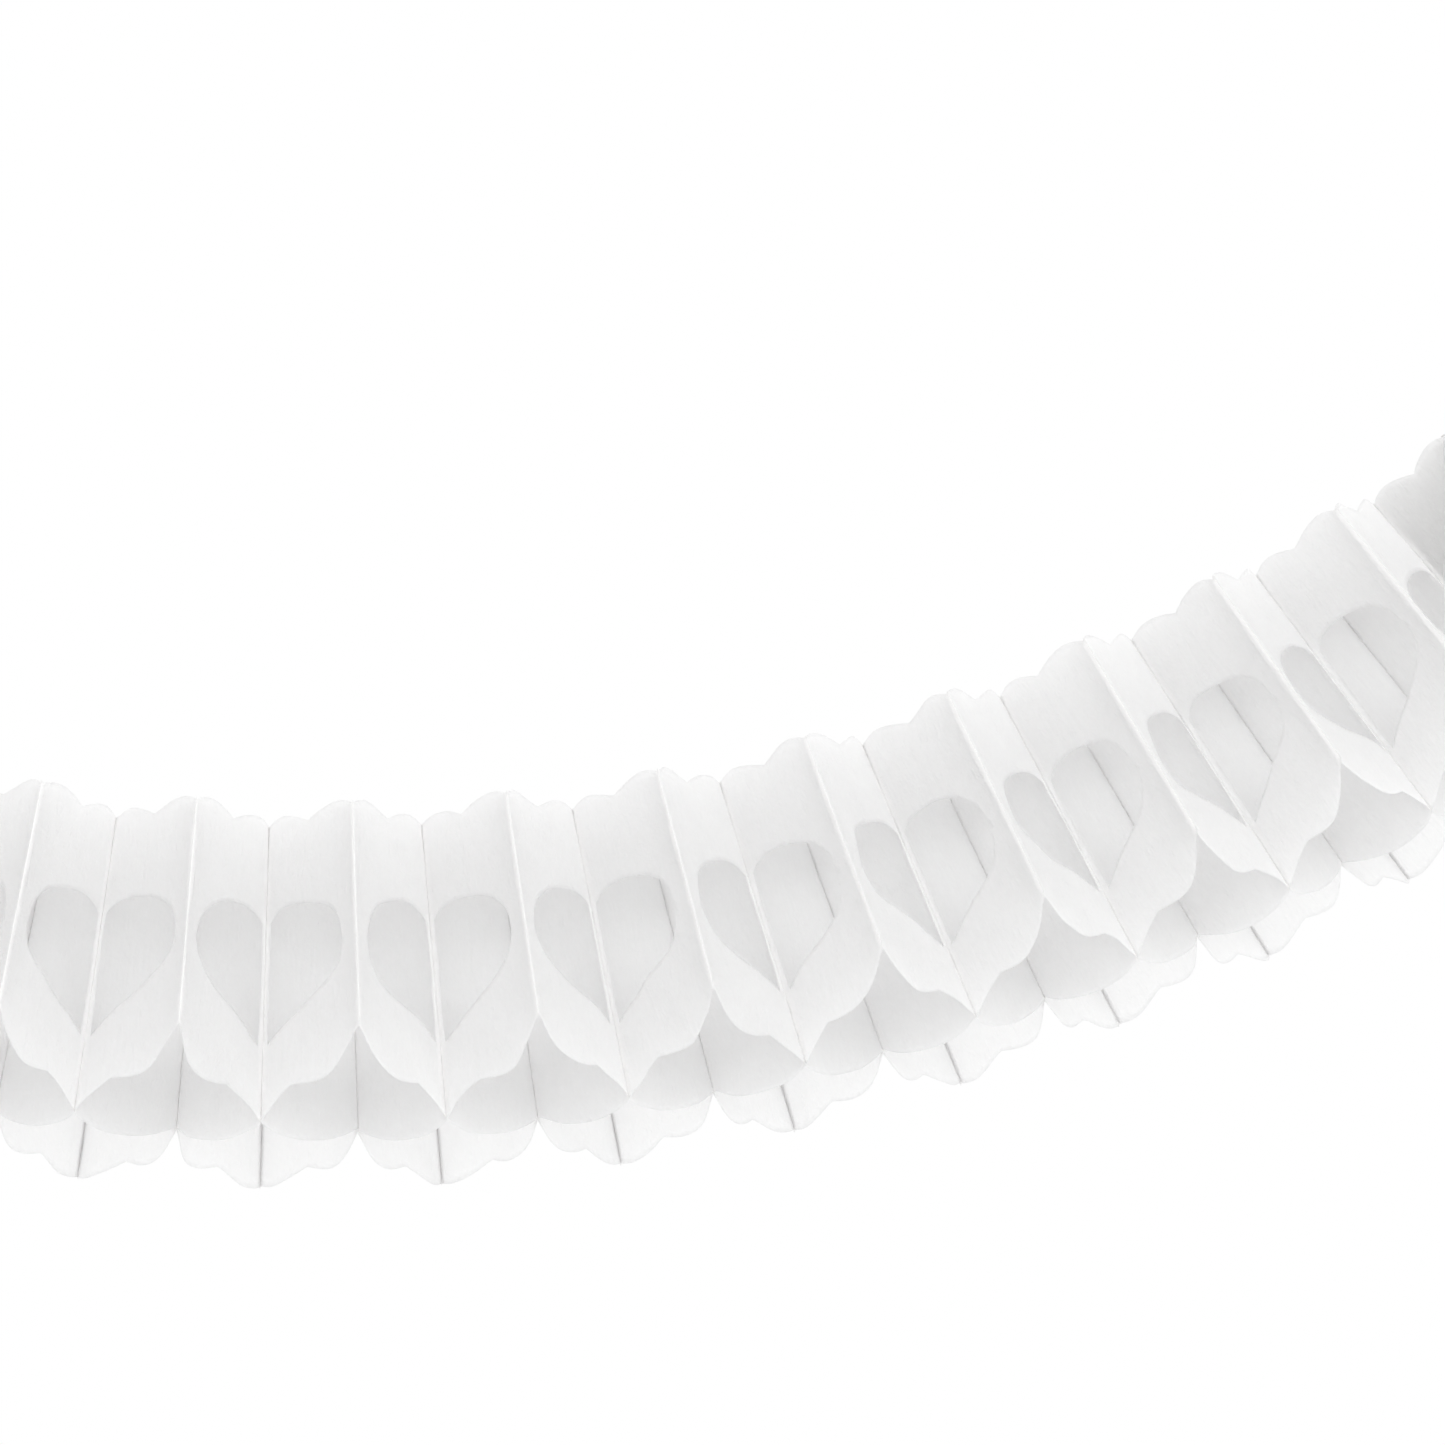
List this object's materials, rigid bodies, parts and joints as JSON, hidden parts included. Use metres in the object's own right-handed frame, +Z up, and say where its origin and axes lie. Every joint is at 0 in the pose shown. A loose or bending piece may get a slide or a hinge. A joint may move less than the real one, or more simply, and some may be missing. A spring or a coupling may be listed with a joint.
{
  "type": "honeycomb paper garland",
  "caption": "Festoon of folded tissue sheets glued along upright lines, with a cut-out heart in each cell and a punched card at each end to hang it by.",
  "frame": {"origin": "middle of the left end card's outer face", "axes": "+X along the garland from its left end to its right end, +Z up, front towards -Y"},
  "size_m": [0.8707, 0.111, 0.3745],
  "materials": {
    "tissue": "thin white tissue, matt",
    "card": "white card, matt"
  },
  "bodies": {
    "cell_01": {"left_end_card": "card", "tissue_sheet_01": "tissue", "tissue_sheet_02": "tissue"},
    "cell_02": {"tissue_sheet_03": "tissue", "tissue_sheet_04": "tissue"},
    "cell_03": {"tissue_sheet_05": "tissue", "tissue_sheet_06": "tissue"},
    "cell_04": {"tissue_sheet_07": "tissue", "tissue_sheet_08": "tissue"},
    "cell_05": {"tissue_sheet_09": "tissue", "tissue_sheet_10": "tissue"},
    "cell_06": {"tissue_sheet_11": "tissue", "tissue_sheet_12": "tissue"},
    "cell_07": {"tissue_sheet_13": "tissue", "tissue_sheet_14": "tissue"},
    "cell_08": {"tissue_sheet_15": "tissue", "tissue_sheet_16": "tissue"},
    "cell_09": {"tissue_sheet_17": "tissue", "tissue_sheet_18": "tissue"},
    "cell_10": {"tissue_sheet_19": "tissue", "tissue_sheet_20": "tissue"},
    "cell_11": {"tissue_sheet_21": "tissue", "tissue_sheet_22": "tissue", "right_end_card": "card"}
  },
  "joints": [
    {"name": "seam_01", "type": "hinge", "parent": "cell_01", "child": "cell_02", "pos_m": [0.0884, 0, 0.06795], "axis": [0, -1, 0], "range_deg": [0, 3]},
    {"name": "seam_02", "type": "hinge", "parent": "cell_02", "child": "cell_03", "pos_m": [0.15876, 0, 0.0623], "axis": [0, -1, 0], "range_deg": [0, 3]},
    {"name": "seam_03", "type": "hinge", "parent": "cell_03", "child": "cell_04", "pos_m": [0.22931, 0, 0.06304], "axis": [0, -1, 0], "range_deg": [0, 3]},
    {"name": "seam_04", "type": "hinge", "parent": "cell_04", "child": "cell_05", "pos_m": [0.29957, 0, 0.07015], "axis": [0, -1, 0], "range_deg": [0, 3]},
    {"name": "seam_05", "type": "hinge", "parent": "cell_05", "child": "cell_06", "pos_m": [0.36911, 0, 0.08348], "axis": [0, -1, 0], "range_deg": [0, 3]},
    {"name": "seam_06", "type": "hinge", "parent": "cell_06", "child": "cell_07", "pos_m": [0.43753, 0, 0.1028], "axis": [0, -1, 0], "range_deg": [0, 3]},
    {"name": "seam_07", "type": "hinge", "parent": "cell_07", "child": "cell_08", "pos_m": [0.50447, 0, 0.12778], "axis": [0, -1, 0], "range_deg": [0, 3]},
    {"name": "seam_08", "type": "hinge", "parent": "cell_08", "child": "cell_09", "pos_m": [0.56967, 0, 0.15801], "axis": [0, -1, 0], "range_deg": [0, 3]},
    {"name": "seam_09", "type": "hinge", "parent": "cell_09", "child": "cell_10", "pos_m": [0.6329, 0, 0.19307], "axis": [0, -1, 0], "range_deg": [0, 3]},
    {"name": "seam_10", "type": "hinge", "parent": "cell_10", "child": "cell_11", "pos_m": [0.69402, 0, 0.2325], "axis": [0, -1, 0], "range_deg": [0, 3]}
  ],
  "couplings": [
    {"joint": "seam_02", "follows": "seam_01", "ratio": 1},
    {"joint": "seam_03", "follows": "seam_01", "ratio": 1},
    {"joint": "seam_04", "follows": "seam_01", "ratio": 1},
    {"joint": "seam_05", "follows": "seam_01", "ratio": 1},
    {"joint": "seam_06", "follows": "seam_01", "ratio": 1},
    {"joint": "seam_07", "follows": "seam_01", "ratio": 1},
    {"joint": "seam_08", "follows": "seam_01", "ratio": 1},
    {"joint": "seam_09", "follows": "seam_01", "ratio": 1},
    {"joint": "seam_10", "follows": "seam_01", "ratio": 1}
  ]
}
